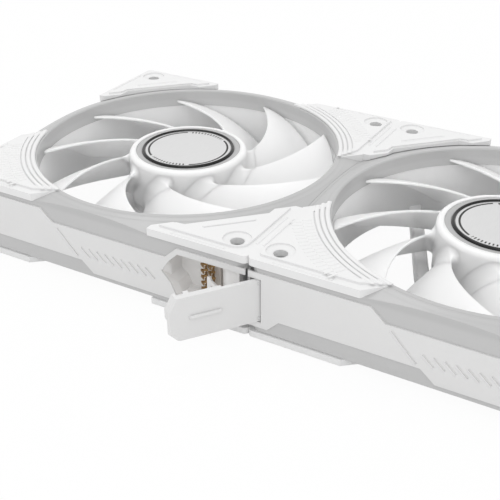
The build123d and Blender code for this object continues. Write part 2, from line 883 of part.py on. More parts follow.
block_t = 1.4
block_low_x = half - 20.0
block_high_x = half - 13.6
finger_low_z = 9.6
finger_pitch_z = 2.2
finger_start_x = half - 18.8
finger_pitch_x = 2.7
bay_inner_back = tray_back + tray_wall

with BuildPart() as contact_block:
    with BuildSketch(Plane.XY.offset(finger_low_z - 1.4)):
        with Locations(((block_low_x + block_high_x) / 2, -bay_inner_back - block_t / 2)):
            Rectangle(block_high_x - block_low_x, block_t)
    extrude(amount=finger_rows * finger_pitch_z + 0.6)

write_for_each_fan(contact_block.part, "contact_block")

with BuildPart() as finger:
    with BuildSketch(Plane.XY):
        with BuildLine():
            face_y = -bay_inner_back - block_t
            Polyline(
                (0, face_y),
                (0, face_y - 0.9),
                (1.3, face_y - 1.7),
                (-0.2, face_y - 2.7),
                (1.2, face_y - 3.7),
            )
        trace(line_width=finger_t)
    extrude(amount=finger_w)

fingers = Compound(
    [
        Pos(
            finger_start_x + column * finger_pitch_x,
            0,
            finger_low_z + row * finger_pitch_z - finger_w / 2,
        )
        * finger.part
        for column in range(finger_columns)
        for row in range(finger_rows)
    ]
)
write_for_each_fan(fingers, "contact_fingers")

# Link cover, drawn shut and then swung open about its pin
hinge_y = -(half - barrel_r)
ear_h = 1.6
ear_gap = 0.1
pivot = Pos(hinge_x, hinge_y, 0)
swing = pivot * Rot(0, 0, cover_open) * pivot.inverse()
end_x = hinge_x - cover_length
top_bevel_x, top_bevel_z = end_x + 2.5, 4.4
low_bevel_x, low_bevel_z = end_x + 2.7, 2.9
lip_w = 1.0
latch_s = 22.4
latch_w = 1.6
latch_h = 2.0
latch_reach = 2.4
end_lip_t = 0.9
end_lip_reach = 2.0

with BuildPart() as cover:
    with BuildSketch(Plane.XZ.offset(half - cover_t)):
        Polygon(
            (hinge_x, cover_low_z),
            (low_bevel_x, cover_low_z),
            (end_x, cover_low_z + low_bevel_z),
            (end_x, cover_top_z - top_bevel_z),
            (top_bevel_x, cover_top_z),
            (hinge_x, cover_top_z),
            align=None,
        )
    extrude(amount=cover_t)
    front_edges = cover.faces().sort_by(Axis.Y)[0].edges()
    chamfer(front_edges.sort_by(Axis.X)[:3], 0.5)
    with BuildSketch(Plane.XZ.offset(half)):
        with Locations((hinge_x - (grip_start + grip_end) / 2, grip_z)):
            RectangleRounded(grip_end - grip_start, grip_h, 0.3)
    extrude(amount=grip_t)
    lip_low_x = top_bevel_x + 0.4
    lip_high_x = bay_post_x - half - 0.5
    with BuildSketch(Plane.XZ.offset(half - cover_t)):
        for z in (cover_low_z + lip_w / 2, cover_top_z - lip_w / 2):
            with Locations(((lip_low_x + lip_high_x) / 2, z)):
                Rectangle(lip_high_x - lip_low_x, lip_w)
    extrude(amount=-lip_t)
    with BuildSketch(Plane.XY.offset(cover_top_z - latch_h)):
        with Locations((hinge_x - latch_s, -(half - cover_t) + latch_reach / 2)):
            Rectangle(latch_w, latch_reach)
    extrude(amount=latch_h - 0.2)
    with BuildSketch(Plane.XZ.offset(half - cover_t)):
        Polygon(
            (end_x, grip_z),
            (end_x, cover_top_z - top_bevel_z),
            (top_bevel_x, cover_top_z),
            (top_bevel_x + end_lip_t, cover_top_z),
            (end_x + end_lip_t, cover_top_z - top_bevel_z),
            (end_x + end_lip_t, grip_z),
            align=None,
        )
    extrude(amount=-end_lip_reach)
    with BuildSketch(Plane.XY.offset(cover_low_z)):
        with Locations((hinge_x, hinge_y)):
            Circle(barrel_r)
    extrude(amount=cover_top_z - cover_low_z)
    for low_z in (cover_low_z, cover_top_z - ear_h - ear_gap):
        with BuildSketch(Plane.XY.offset(low_z)):
            with Locations((hinge_x, hinge_y)):
                Circle(barrel_r + barrel_gap)
        extrude(amount=ear_h + ear_gap, mode=Mode.SUBTRACT)
    with BuildSketch(Plane.XY):
        with Locations((hinge_x, hinge_y)):
            Circle(hinge_pin_r + run_gap)
    extrude(amount=total_z, mode=Mode.SUBTRACT)

write(swing * cover.part, "link_cover")
write(pivot * ring_part(0, hinge_pin_r, cover_low_z, cover_top_z), "hinge_pin")

bracket_back = shallow_back
bracket_t = 0.5
bracket_left_x = hinge_x - 2.0
bracket_turn_x = hinge_notch(0.4) + half
foot_w = 4.0
with BuildPart() as bracket:
    plane, height = span(cover_low_z, cover_top_z)
    with BuildSketch(plane):
        Polygon(
            (bracket_left_x, -bracket_back),
            (bracket_turn_x + bracket_t, -bracket_back),
            (bracket_turn_x + bracket_t, -wall_half + bracket_t),
            (bracket_turn_x + foot_w, -wall_half + bracket_t),
            (bracket_turn_x + foot_w, -wall_half),
            (bracket_turn_x, -wall_half),
            (bracket_turn_x, -bracket_back - bracket_t),
            (bracket_left_x, -bracket_back - bracket_t),
            align=None,
        )
    extrude(amount=height)
    for low_z in (cover_low_z, cover_top_z - ear_h):
        with BuildSketch(Plane.XY.offset(low_z)):
            with Locations((hinge_x, hinge_y)):
                Circle(barrel_r)
            with Locations((hinge_x, (hinge_y - bracket_back) / 2)):
                Rectangle(2 * barrel_r, -hinge_y - bracket_back)
        extrude(amount=ear_h)
    with BuildSketch(Plane.XY):
        with Locations((hinge_x, hinge_y)):
            Circle(hinge_pin_r + seat_gap)
    extrude(amount=total_z, mode=Mode.SUBTRACT)

write(bracket.part, "hinge_bracket")
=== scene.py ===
import math

import bpy
from mathutils import Matrix, Vector


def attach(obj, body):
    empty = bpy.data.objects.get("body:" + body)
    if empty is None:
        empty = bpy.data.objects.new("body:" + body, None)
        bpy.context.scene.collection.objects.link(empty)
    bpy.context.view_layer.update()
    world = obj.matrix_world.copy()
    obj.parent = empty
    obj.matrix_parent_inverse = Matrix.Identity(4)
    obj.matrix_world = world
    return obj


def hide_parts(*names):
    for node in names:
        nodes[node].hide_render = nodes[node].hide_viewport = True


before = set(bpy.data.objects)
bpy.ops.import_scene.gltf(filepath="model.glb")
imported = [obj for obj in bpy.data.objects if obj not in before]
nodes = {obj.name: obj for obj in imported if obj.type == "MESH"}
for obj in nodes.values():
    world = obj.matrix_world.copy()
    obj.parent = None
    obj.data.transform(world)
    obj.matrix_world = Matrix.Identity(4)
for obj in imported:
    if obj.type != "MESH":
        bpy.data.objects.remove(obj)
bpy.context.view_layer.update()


# The camera stands in front of the joint between the two fans, a little above them, and looks
# down at the rims. Its place and lens were solved from the screw holes and corners in the photo.
eye = Vector((0.120006, -0.263499, 0.169521))
azimuth = math.radians(30.258)
elevation = math.radians(30.338)
roll = math.radians(0.339)
focal_px = 933.3
photo_px = 500.0

right = Vector((math.cos(azimuth), math.sin(azimuth), 0.0))
back = Vector((math.sin(azimuth) * math.cos(elevation),
               -math.cos(azimuth) * math.cos(elevation),
               math.sin(elevation)))
up = back.cross(right)
rolled_right = right * math.cos(roll) - up * math.sin(roll)
rolled_up = right * math.sin(roll) + up * math.cos(roll)
camera_data = bpy.data.cameras.new("photo_camera")
camera_data.sensor_width = 36.0
camera_data.lens = focal_px / photo_px * camera_data.sensor_width
camera_data.clip_start = 0.01
camera_data.clip_end = 20.0
camera = bpy.data.objects.new("photo_camera", camera_data)
turn = Matrix((rolled_right, rolled_up, back)).transposed()
camera.matrix_world = Matrix.Translation(eye) @ turn.to_4x4()
bpy.context.scene.collection.objects.link(camera)
bpy.context.scene.camera = camera
bpy.context.scene.view_settings.view_transform = "Standard"


# The floor is a white table under the lower corner pads, where the pair of fans rests. It reads
# as plain white to the camera and in reflections, and it keeps a faint soft shadow of the fans.
class Wire:
    """One socket in a node tree, with the arithmetic that a finish needs."""

    def __init__(self, wiring, socket):
        self.wiring = wiring
        self.socket = socket

    def maths(self, operation, first, second=0.0):
        return self.wiring.node("ShaderNodeMath", {"operation": operation}, {0: first, 1: second})

    def __add__(self, other):
        return self.maths("ADD", self, other)

    def __radd__(self, other):
        return self.maths("ADD", other, self)

    def __sub__(self, other):
        return self.maths("SUBTRACT", self, other)

    def __rsub__(self, other):
        return self.maths("SUBTRACT", other, self)

    def __mul__(self, other):
        return self.maths("MULTIPLY", self, other)

    def __rmul__(self, other):
        return self.maths("MULTIPLY", other, self)

    def __truediv__(self, other):
        return self.maths("DIVIDE", self, other)

    def __rtruediv__(self, other):
        return self.maths("DIVIDE", other, self)

    def __gt__(self, other):
        return self.maths("GREATER_THAN", self, other)

    def __lt__(self, other):
        return self.maths("LESS_THAN", self, other)

    def __pow__(self, other):
        return self.maths("POWER", self, other)

    def __rpow__(self, other):
        return self.maths("POWER", other, self)

    def __abs__(self):
        return self.maths("ABSOLUTE", self)


class Wiring:
    """A node tree whose nodes are all made by one method."""

    def __init__(self, tree):
        self.tree = tree

    def node(self, kind, settings=None, sockets=None, out=0):
        made = self.tree.nodes.new(kind)
        for name, value in (settings or {}).items():
            setattr(made, name, value)
        for name, value in (sockets or {}).items():
            self.feed(made.inputs[name], value)
        return Wire(self, made.outputs[out])

    def feed(self, socket, value):
        if isinstance(value, Wire):
            self.tree.links.new(value.socket, socket)
        else:
            socket.default_value = value

    def blend(self, amount, first, second):
        return self.node("ShaderNodeMix", {"data_type": "RGBA"}, {0: amount, 6: first, 7: second}, out=2)

    def ease(self, value, low, high):
        """The value's way from low to high, as a soft step from 0 to 1."""
        return self.node("ShaderNodeMapRange", {"interpolation_type": "SMOOTHSTEP"},
                         {"Value": value, "From Min": low, "From Max": high})


class Finish(Wiring):
    """A material and its main shader."""

    def __init__(self, name):
        self.material = bpy.data.materials.new(name)
        self.material.use_nodes = True
        super().__init__(self.material.node_tree)
        self.shader = self.tree.nodes["Principled BSDF"]
        self.output = self.tree.nodes["Material Output"]

    def surface(self, **sockets):
        for name, value in sockets.items():
            self.feed(self.shader.inputs[name.replace("_", " ")], value)

    def place(self):
        """Where a point lies on its own piece, in metres."""
        return self.node("ShaderNodeTexCoord", out=3)

    def along(self, axis):
        return self.node("ShaderNodeSeparateXYZ", None, {0: self.place()}, out="XYZ".index(axis))

    def grain(self, size, detail=2.0, stretch=(1.0, 1.0, 1.0)):
        placed = self.place()
        if stretch != (1.0, 1.0, 1.0):
            placed = self.node("ShaderNodeVectorMath", {"operation": "MULTIPLY"},
                               {0: placed, 1: stretch})
        return self.node("ShaderNodeTexNoise", None,
                         {"Vector": placed, "Scale": 1.0 / size, "Detail": detail, "Roughness": 0.5})

    def relief(self, height, depth):
        return self.node("ShaderNodeBump", None, {"Height": height, "Distance": depth, "Strength": 1.0})


def grey(level, warmth=0.0):
    """A near-grey colour from its display level of 0 to 255, as the shader's linear numbers."""

    def linear(value):
        value = value / 255.0
        return value / 12.92 if value <= 0.04045 else ((value + 0.055) / 1.055) ** 2.4

    return (linear(level + warmth), linear(level), linear(level - warmth), 1.0)


floor_half = 3.0
floor_z = -0.00002
shadow_share = 0.05
mirrored_share = 0.8
white = (1, 1, 1, 1)
floor_mesh = bpy.data.meshes.new("floor")
floor_mesh.from_pydata([(-floor_half, -floor_half, floor_z), (floor_half, -floor_half, floor_z),
                        (floor_half, floor_half, floor_z), (-floor_half, floor_half, floor_z)],
                       [], [(0, 1, 2, 3)])
floor = bpy.data.objects.new("floor", floor_mesh)
bpy.context.scene.collection.objects.link(floor)
table = Finish("white_table")
table.surface(Base_Color=table.blend(table.grain(0.02), grey(238), grey(242)), Roughness=0.8)
seen_white = table.node("ShaderNodeEmission", None, {"Color": white, "Strength": 1.0})
direct, glossy, passed = [table.node("ShaderNodeLightPath", out=name)
                          for name in ("Is Camera Ray", "Is Glossy Ray", "Is Transmission Ray")]
seen = direct * (1.0 - shadow_share) + glossy * mirrored_share + passed * mirrored_share
mixed = table.node("ShaderNodeMixShader", None,
                   {0: seen, 1: Wire(table, table.shader.outputs[0]), 2: seen_white})
table.tree.links.new(mixed.socket, table.output.inputs["Surface"])
floor_mesh.materials.append(table.material)


# Studio light: one large soft box over the rear left, a weaker one beside the camera, and an
# even white surround, at a level at which each finish shows about its own colour.
aim = Vector((0, 0, 0.02))


def soft_box(name, place, size, power):
    lamp = bpy.data.lights.new(name, "AREA")
    lamp.shape = "SQUARE"
    lamp.size = size
    lamp.energy = power
    box = bpy.data.objects.new(name, lamp)
    box.location = place
    box.rotation_euler = (aim - Vector(place)).to_track_quat("-Z", "Y").to_euler()
    bpy.context.scene.collection.objects.link(box)


soft_box("key_light", (-0.35, 0.25, 0.9), 0.5, 1.5)
soft_box("fill_light", (0.25, -0.6, 0.75), 0.5, 1.2)
surround_level = 0.9
world = bpy.data.worlds.new("white_surround")
world.use_nodes = True
bpy.context.scene.world = world
surround = Wiring(world.node_tree)
camera_ray = surround.node("ShaderNodeLightPath", out="Is Camera Ray")
strength = camera_ray + (1.0 - camera_ray) * surround_level
backdrop = world.node_tree.nodes["Background"]
surround.feed(backdrop.inputs["Color"], white)
surround.feed(backdrop.inputs["Strength"], strength)


# Each fan stands on one moulded frame: the round air duct, four struts that leave the motor
# base along its edge, and the screw bosses. It is white plastic with a fine satin skin.
mm = 0.001
fan_centres = {"left": -60.0 * mm, "right": 60.0 * mm}
cloud_size = 14.0 * mm
cloud_spread = 2.0
skin_gloss = 0.14
light_depth = 2.5 * mm


def both(*names):
    return [f"{side}_{name}" for side in fan_centres for name in names]


def dress(finish, names):
    for name in names:
        slots = nodes[name].data.materials
        for index in range(len(slots)):
            slots[index] = finish.material
        if not slots:
            slots.append(finish.material)


def moulded(name, level, warmth=0.0, roughness=0.45, skin_depth=0.012 * mm, skin_size=0.3 * mm,
            light_through=0.0):
    """Pale moulded plastic: slight clouding, and a fine skin that breaks up the gloss."""
    finish = Finish(name)
    cloud = finish.grain(cloud_size)
    skin = finish.grain(skin_size, detail=3.0)
    darker, lighter = grey(level - cloud_spread, warmth), grey(level + cloud_spread, warmth)
    finish.surface(Base_Color=finish.blend(cloud, darker, lighter),
                   Roughness=roughness + (skin - 0.5) * skin_gloss,
                   Normal=finish.relief(skin, skin_depth))
    if light_through:
        finish.surface(Subsurface_Weight=light_through, Subsurface_Radius=(1.0, 1.0, 1.0),
                       Subsurface_Scale=light_depth)
    return finish


frame_plastic = moulded("frame_plastic", 246, roughness=0.42, light_through=0.6)
dress(frame_plastic, both("frame", "bearing_plug"))


# The motor stands on the frame's base: a sintered bronze bearing in its tube, a laminated steel
# core with four wound poles, and a white circuit board under them.
def metal(name, level, warmth, roughness, streak):
    """Bare metal with fine streaks along its drawn or turned direction."""
    finish = Finish(name)
    streaks = finish.grain(0.5 * mm, detail=4.0, stretch=streak)
    dull, bright = grey(level - 14, warmth), grey(level + 8, warmth)
    finish.surface(Base_Color=finish.blend(streaks, dull, bright),
                   Metallic=1.0, Roughness=roughness + (streaks - 0.5) * 0.1,
                   Normal=finish.relief(streaks, 0.004 * mm))
    return finish


drawn_steel = metal("drawn_steel", 190, 0, 0.28, (1.0, 1.0, 0.1))
core_steel = metal("core_plates", 165, 0, 0.4, (0.1, 0.1, 4.0))
bronze = metal("sintered_bronze", 165, 26, 0.45, (1.0, 1.0, 1.0))
dress(drawn_steel, both("yoke", "shaft", "retaining_washer"))
dress(core_steel, both("stator_core"))
dress(bronze, both("bearing"))
dress(moulded("bonded_magnet", 62, roughness=0.6), both("magnet_ring"))

wire_pitch = 0.35 * mm
copper = Finish("copper_wire")
turns = copper.node("ShaderNodeTexWave",
                    {"wave_type": "RINGS", "rings_direction": "Z", "wave_profile": "SIN"},
                    {"Vector": copper.place(), "Scale": 0.314 / wire_pitch, "Distortion": 0.3})
copper_low, copper_high = (0.20, 0.06, 0.025, 1), (0.66, 0.27, 0.12, 1)
copper.surface(Base_Color=copper.blend(turns, copper_low, copper_high), Metallic=0.9,
               Roughness=0.3 + turns * 0.1, Normal=copper.relief(turns, 0.08 * mm))
dress(copper, both("windings"))

board = Finish("white_board")
tracks = board.node("ShaderNodeTexBrick", {"offset": 0.37},
                    {"Vector": board.place(), "Scale": 1.0 / (1.6 * mm), "Mortar Size": 0.012,
                     "Color1": grey(222, 2), "Color2": grey(228, 2), "Mortar": grey(206, 4)})
board.surface(Base_Color=tracks, Roughness=0.35, Coat_Weight=0.2)
dress(board, both("motor_board", "light_boards"))
dress(moulded("lamp_lens", 236, 9.0, 0.2), both("light_chips"))


# Each fan's shell is milky plastic that spreads light: the top plate with its raised rim, and
# the lower floor. A soft line is moulded in the rim, and a seal fills the joint between the fans.
upward = Vector((0, 0, 1))


class Shape:
    """A mesh in millimetres about one fan's centre, built up from beads, rings and blocks."""

    end_turns = (0.15, 0.6, 1.1)

    def __init__(self):
        self.points = []
        self.faces = []

    def add(self, points, faces):
        first = len(self.points)
        self.points += [Vector(point) for point in points]
        self.faces += [tuple(first + corner for corner in face) for face in faces]

    def take(self, other, angle):
        """Another shape, turned about the fan's axis."""
        turned = Matrix.Rotation(angle, 3, "Z")
        self.add([turned @ point for point in other.points], other.faces)

    def bead(self, path, face, width, height, steps=8):
        """A bead with a rounded back and rounded ends, which follows a path on a face."""
        count = len(path)
        heading = [(path[min(i + 1, count - 1)] - path[max(i - 1, 0)]).normalized()
                   for i in range(count)]
        stations = [(path[0] - heading[0] * width / 2 * math.cos(turn), heading[0], math.sin(turn))
                    for turn in self.end_turns]
        stations += [(spot, way, 1.0) for spot, way in zip(path, heading)]
        stations += [(path[-1] + heading[-1] * width / 2 * math.cos(turn), heading[-1], math.sin(turn))
                     for turn in reversed(self.end_turns)]
        points = []
        for spot, way, size in stations:
            across = way.cross(face)
            for step in range(steps + 1):
                turn = math.pi * step / steps
                points.append(spot + across * (math.cos(turn) * width / 2 * size)
                              + face * (math.sin(turn) * height * size))
        row = steps + 1
        self.add(points, [(i * row + j, (i + 1) * row + j, (i + 1) * row + j + 1, i * row + j + 1)
                          for i in range(len(stations) - 1) for j in range(steps)])

    def lathe(self, profile, centre=Vector((0, 0, 0)), segments=96):
        """A profile of radii and heights, turned round a vertical axis."""
        points = []
        for segment in range(segments):
            angle = math.tau * segment / segments
            points += [centre + Vector((radius * math.cos(angle), radius * math.sin(angle), height))
                       for radius, height in profile]
        row = len(profile)
        self.add(points, [(i * row + j, (i + 1) % segments * row + j,
                           (i + 1) % segments * row + j + 1, i * row + j + 1)
                          for i in range(segments) for j in range(row - 1)])

    def piece(self, name, finish, body, centre_x=0.0, smooth_under=40.0):
        """The shape as a new piece, dressed and set to ride on its body."""
        mesh = bpy.data.meshes.new(name)
        middle = Vector((centre_x, 0, 0))
        mesh.from_pydata([point * mm + middle for point in self.points], [], self.faces)
        mesh.validate()
        mesh.shade_smooth()
        mesh.set_sharp_from_angle(angle=math.radians(smooth_under))
        made = bpy.data.objects.new(name, mesh)
        bpy.context.scene.collection.objects.link(made)
        mesh.materials.append(finish.material)
        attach(made, body)
        return made


milk = Finish("diffuser_milk")
milk_cloud = milk.grain(9.0 * mm)
milk_skin = milk.grain(0.35 * mm, detail=3.0)
skirt_top_z, plate_z = 24.6, 26.2
# Painted shade: the top plate and its rim are coloured darker than the skirt, to offset the stronger
# light that falls on their upward faces. The shade eases in between the skirt's top and the plate.
plate_painted_shade = milk.ease(milk.along("Z"), skirt_top_z * mm, plate_z * mm)
skirt_tone = milk.blend(milk_cloud, grey(190), grey(194))
plate_shaded_tone = milk.blend(milk_cloud, grey(183), grey(187))
milk.surface(Base_Color=milk.blend(plate_painted_shade, skirt_tone, plate_shaded_tone),
             Roughness=0.34 + (milk_skin - 0.5) * 0.12, Coat_Weight=0.15,
             Normal=milk.relief(milk_skin, 0.01 * mm))
dress(milk, both("top_diffuser", "base_diffuser"))

rim_line_profile = [(56.7, 28.74), (56.95, 28.76), (57.15, 28.68), (57.4, 28.5)]
rim_line = Shape()
rim_line.lathe(rim_line_profile, segments=240)
for side, centre_x in fan_centres.items():
    rim_line.piece(f"{side}_rim_line", milk, "frames", centre_x)

rim_outer_z = 28.0
rim_outer_r, rim_foot_r = 59.2, 64.0
shell_edge = 59.5
seal_half, seal_steps = 30.0, 40
seal_w, seal_h = 1.5, 0.5
seal_path = []
for step in range(seal_steps + 1):
    north = seal_half * (2 * step / seal_steps - 1)
    up_slope = max(0.0, rim_foot_r - math.hypot(shell_edge, north)) / (rim_foot_r - rim_outer_r)
    seal_path.append(Vector((0, north, plate_z - seal_h + up_slope * (rim_outer_z - plate_z))))
seal = Shape()
seal.bead(seal_path, upward, seal_w, seal_h)
seal.piece("joint_seal", milk, "frames")


# White plastic panels close three sides of each fan. They are moulded with a fine spark finish,
# and set in the skirt. Beside each slanted groove runs a rounded lip, which is modelled here.
panel_plastic = moulded("panel_plastic", 222, 0.2, 0.5, skin_depth=0.03 * mm, skin_size=0.35 * mm)
dress(panel_plastic, both("front_panel", "rear_panel", "end_panel"))

quarter = math.pi / 2
forward = Vector((0, -1, 0))
panel_y = -59.98
long_lip = (-13.2, 18.7, 8.0, -8.4)
short_lip_count, short_lip_pitch = 9, 3.27
short_lips = [(-3.6 + short_lip_pitch * index, 14.1, 3.5, -3.2) for index in range(short_lip_count)]
lip_shift_x, lip_shift_z = -0.42, -0.4
lip_w, lip_h = 0.5, 0.2
lip_steps = 6
stroke = Shape()
for x, z, run, fall in [long_lip] + short_lips:
    lip = [Vector((x + lip_shift_x + run * step / lip_steps, panel_y,
                   z + lip_shift_z + fall * step / lip_steps)) for step in range(lip_steps + 1)]
    stroke.bead(lip, forward, lip_w, lip_h)
for side, centre_x in fan_centres.items():
    strokes = Shape()
    for turns in (0, 2, -1 if side == "left" else 1):
        strokes.take(stroke, turns * quarter)
    strokes.piece(f"{side}_panel_strokes", panel_plastic, "frames", centre_x)


# Soft pads of white rubber are pressed on the corners, above and below, and take the screws. The
# upper ones are moulded with bars on the ledge and a dished seat for each screw. Two of each fan's
# have a slanted line, and two a curved edge with three ridges and two rows of short ribs.
pad_rubber = moulded("pad_rubber", 231, 0.0, 0.62, skin_depth=0.02 * mm, skin_size=0.25 * mm)
dress(pad_rubber, both("curved_pads", "straight_pads", "base_pads"))

half = 60.0
pad_foot_z, pad_ledge_z, pad_face_z = 26.2, 28.8, 29.5
pad_ledge = 2.8
arc_pad_r = 55.6
arc_end_angle = math.radians(20.2)
arc_tip_turn = math.radians(3.1)
arc_tip_length = 4.8
arc_leg = 31.7
ridge_rs = (56.35, 58.05, 59.75)
ridge_w, ridge_h, ridge_sink, ridge_steps = 1.4, 0.34, 0.05, 48
rib_rows = (63.0, 66.4)
rib_length, rib_w, rib_h, rib_sink, rib_steps = 2.7, 0.75, 0.24, 0.02, 4
rib_pitch = math.radians(1.8)
rib_reach = math.radians(14.5)
bar_side, bar_low, bar_high = 58.8, 8.6, 27.2
bar_w, bar_h, bar_sink, bar_steps = 0.95, 0.5, 0.15, 8
line_near, line_far, line_in = 8.1, 20.0, 0.5
line_w, line_h, line_sink, line_steps = 0.8, 0.26, 0.03, 8
screw_at = 52.5
dish_profile = ((4.48, 0.0), (4.42, 0.5), (4.1, 0.62), (3.3, 0.78), (2.5, 1.0), (2.27, 1.15))


def on_ring(radius, angle, height):
    return Vector((radius * math.cos(angle), radius * math.sin(angle), height))


def slab(outline, low_z, high_z):
    """A flat block over an outline."""
    count = len(outline)
    points = [(x, y, z) for z in (low_z, high_z) for x, y in outline]
    faces = [tuple(range(count - 1, -1, -1)), tuple(range(count, 2 * count))]
    faces += [(i, (i + 1) % count, (i + 1) % count + count, i + count) for i in range(count)]
    return points, faces


def ring_end(radius, start, finish):
    """The angle at which a line between two points crosses a circle about the fan's centre."""
    low, high = 0.0, 1.0
    halvings = 30
    for _ in range(halvings):
        middle = (low + high) / 2
        spot = start.lerp(finish, middle)
        low, high = (middle, high) if math.hypot(spot.x, spot.y) < radius else (low, middle)
    return math.atan2(spot.y, spot.x)


tip_steps = 4
layer_overlap = 0.1
tip_arc = [on_ring(arc_pad_r, arc_end_angle - arc_tip_turn * step / tip_steps, 0)
           for step in range(tip_steps + 1)]
old_foot = Vector((half, half - arc_leg, 0))
old_face = Vector((half - pad_ledge, half - arc_leg + pad_ledge / 2, 0))
tip_move = Vector((0, -arc_tip_length, 0))
foot_outline = [spot.xy for spot in tip_arc + [old_foot + tip_move, old_foot]]
face_outline = [spot.xy for spot in tip_arc + [old_face + tip_move, old_face]]
tips = Shape()
for mirrored in (False, True):
    for outline, low_z, high_z in ((foot_outline, pad_foot_z, pad_ledge_z),
                                   (face_outline, pad_ledge_z - layer_overlap, pad_face_z)):
        points, faces = slab(outline, low_z, high_z)
        if mirrored:
            points = [(y, x, z) for x, y, z in points]
            faces = [face[::-1] for face in faces]
        tips.add(points, faces)

ridges = Shape()
for radius in ridge_rs:
    start = ring_end(radius, tip_arc[-1], old_face + tip_move)
    sweep = [start + (quarter - 2 * start) * step / ridge_steps for step in range(ridge_steps + 1)]
    path = [on_ring(radius, angle, pad_face_z - ridge_sink) for angle in sweep]
    ridges.bead(path, upward, ridge_w, ridge_h)
for row, radius in enumerate(rib_rows):
    count = int(rib_reach / rib_pitch)
    for index in range(-count, count + 1):
        angle = quarter / 2 + (index + 0.5 * row) * rib_pitch
        path = [on_ring(radius - rib_length / 2 + rib_length * step / rib_steps, angle,
                        pad_face_z - rib_sink) for step in range(rib_steps + 1)]
        ridges.bead(path, upward, rib_w, rib_h)

ledge_bars = Shape()
for along, across in ((0, 1), (1, 0)):
    path = []
    for step in range(bar_steps + 1):
        spot = [0.0, 0.0, pad_ledge_z - bar_sink]
        spot[along] = half - bar_low - (bar_high - bar_low) * step / bar_steps
        spot[across] = bar_side
        path.append(Vector(spot))
    ledge_bars.bead(path, upward, bar_w, bar_h)

line_start = Vector((half - line_near - line_in, half - line_far - line_in, pad_face_z - line_sink))
line_end = Vector((half - line_far - line_in, half - line_near - line_in, pad_face_z - line_sink))
face_line = Shape()
face_line.bead([line_start.lerp(line_end, step / line_steps) for step in range(line_steps + 1)],
               upward, line_w, line_h)

dish = Shape()
dish.lathe([(radius, pad_face_z - depth) for radius, depth in dish_profile],
           Vector((screw_at, screw_at, 0)))

for side, centre_x in fan_centres.items():
    moulding = Shape()
    for turns in range(4):
        edge_shapes = (tips, ridges) if turns % 2 == 0 else (face_line,)
        for shape in edge_shapes + (ledge_bars, dish):
            moulding.take(shape, turns * quarter)
    moulding.piece(f"{side}_pad_ridges", pad_rubber, "frames", centre_x)


# The rotor is one moulding of satin white plastic: a hub cup and nine swept blades. Each blade
# flows out of the hub through a broad soft fillet, which is modelled here over the CAD solid.
rotor_plastic = moulded("rotor_plastic", 250, 0.0, 0.34, skin_depth=0.006 * mm, skin_size=0.4 * mm,
                        light_through=0.7)
dress(rotor_plastic, both("rotor"))

blade_count = 9
hub_r = 21.8 * mm
hub_base_z = 10.05 * mm
tip_r = 54.1 * mm
blade_top_t = 1.0 * mm
blade_low_t = 0.8 * mm
blade_camber = 0.09
blade_end = 0.04
top_turn, top_rise = (81.5, 70.0, -21.0), (22.3, 5.0, -2.5)
low_turn, low_rise = (61.5, 22.0, 12.5), (12.5, -11.0, 7.7)
root_fillet = 4.4 * mm
root_top_z = 25.8 * mm
root_sink = 0.03 * mm
tip_sink = 0.09 * mm
slope_step = 0.05
face_steps = 14
turn_steps = 8
profile_steps = 8


def blade_edge(radius, turn_terms, rise_terms):
    """Angle and height of one edge of a blade at a radius."""
    t = (radius - hub_r) / (tip_r - hub_r)
    angle, rise = [start + slope * t + bend * t * t
                   for start, slope, bend in (turn_terms, rise_terms)]
    return math.radians(angle), rise * mm


def blade_outline(radius):
    """Points round a blade's section, each with its outward direction along the hub and up."""
    top_angle, top_z = blade_edge(radius, top_turn, top_rise)
    low_angle, low_z = blade_edge(radius, low_turn, low_rise)
    middle_angle = (top_angle + low_angle) / 2
    reach = radius * math.tan(top_angle - middle_angle)
    chord = Vector((2 * reach, top_z - low_z))
    run, face = chord.normalized(), Vector((-chord.y, chord.x)).normalized()
    outline = []
    flat = 1 - 2 * blade_end
    stations = [(blade_end + flat * step / face_steps, 1.0) for step in range(face_steps + 1)]
    stations += [(1 - blade_end, math.cos(math.pi * step / turn_steps)) for step in range(1, turn_steps)]
    stations += [(1 - blade_end - flat * step / face_steps, -1.0) for step in range(face_steps + 1)]
    stations += [(blade_end, -math.cos(math.pi * step / turn_steps)) for step in range(1, turn_steps)]
    for share, side in stations:
        thickness = blade_low_t + (blade_top_t - blade_low_t) * share
        bow = blade_camber * chord.length * 4 * share * (1 - share)
        round_end = math.sqrt(max(0.0, 1 - side * side))
        end = 1.0 if share > 0.5 else -1.0
        outward = face * side + run * (round_end * end)
        spot = run * ((share - 0.5) * chord.length) + face * (bow + side * thickness / 2)
        spot += run * (round_end * end * (blade_end * chord.length + thickness / 3))
        tangent = Vector((-math.sin(middle_angle), math.cos(middle_angle), 0))
        centre = Vector((radius * math.cos(middle_angle), radius * math.sin(middle_angle),
                         (top_z + low_z) / 2))
        place = centre + tangent * spot.x + Vector((0, 0, spot.y))
        outline.append((place, outward))
    return outline


def on_cylinder(place, radius):
    """The point at the same angle and height on a cylinder about the hub's axis."""
    scale = radius / math.hypot(place.x, place.y)
    return Vector((place.x * scale, place.y * scale, place.z))


def root_loops():
    """Loops of points that lead from the hub's wall, through the corner, on to the blade."""
    at_hub = blade_outline(hub_r)
    on_blade = blade_outline(hub_r + root_fillet)
    farther = blade_outline(hub_r + root_fillet * (1 + slope_step))
    loops = []
    for (_, outward), (far, _), (next_far, _) in zip(at_hub, on_blade, farther):
        corner = on_cylinder(far + (far - next_far) / slope_step, hub_r)
        angle = math.atan2(corner.y, corner.x) + outward.x * root_fillet / hub_r
        height = max(hub_base_z, min(root_top_z, corner.z + outward.y * root_fillet))
        wall = hub_r - root_sink
        start = Vector((wall * math.cos(angle), wall * math.sin(angle), height))
        around = Vector((-far.y, far.x, 0)).normalized()
        end = far - (around * outward.x + Vector((0, 0, outward.y))) * tip_sink
        loops.append([start * (1 - s) ** 2 + corner * 2 * s * (1 - s) + end * s * s
                      for s in [step / profile_steps for step in range(profile_steps + 1)]])
    return loops


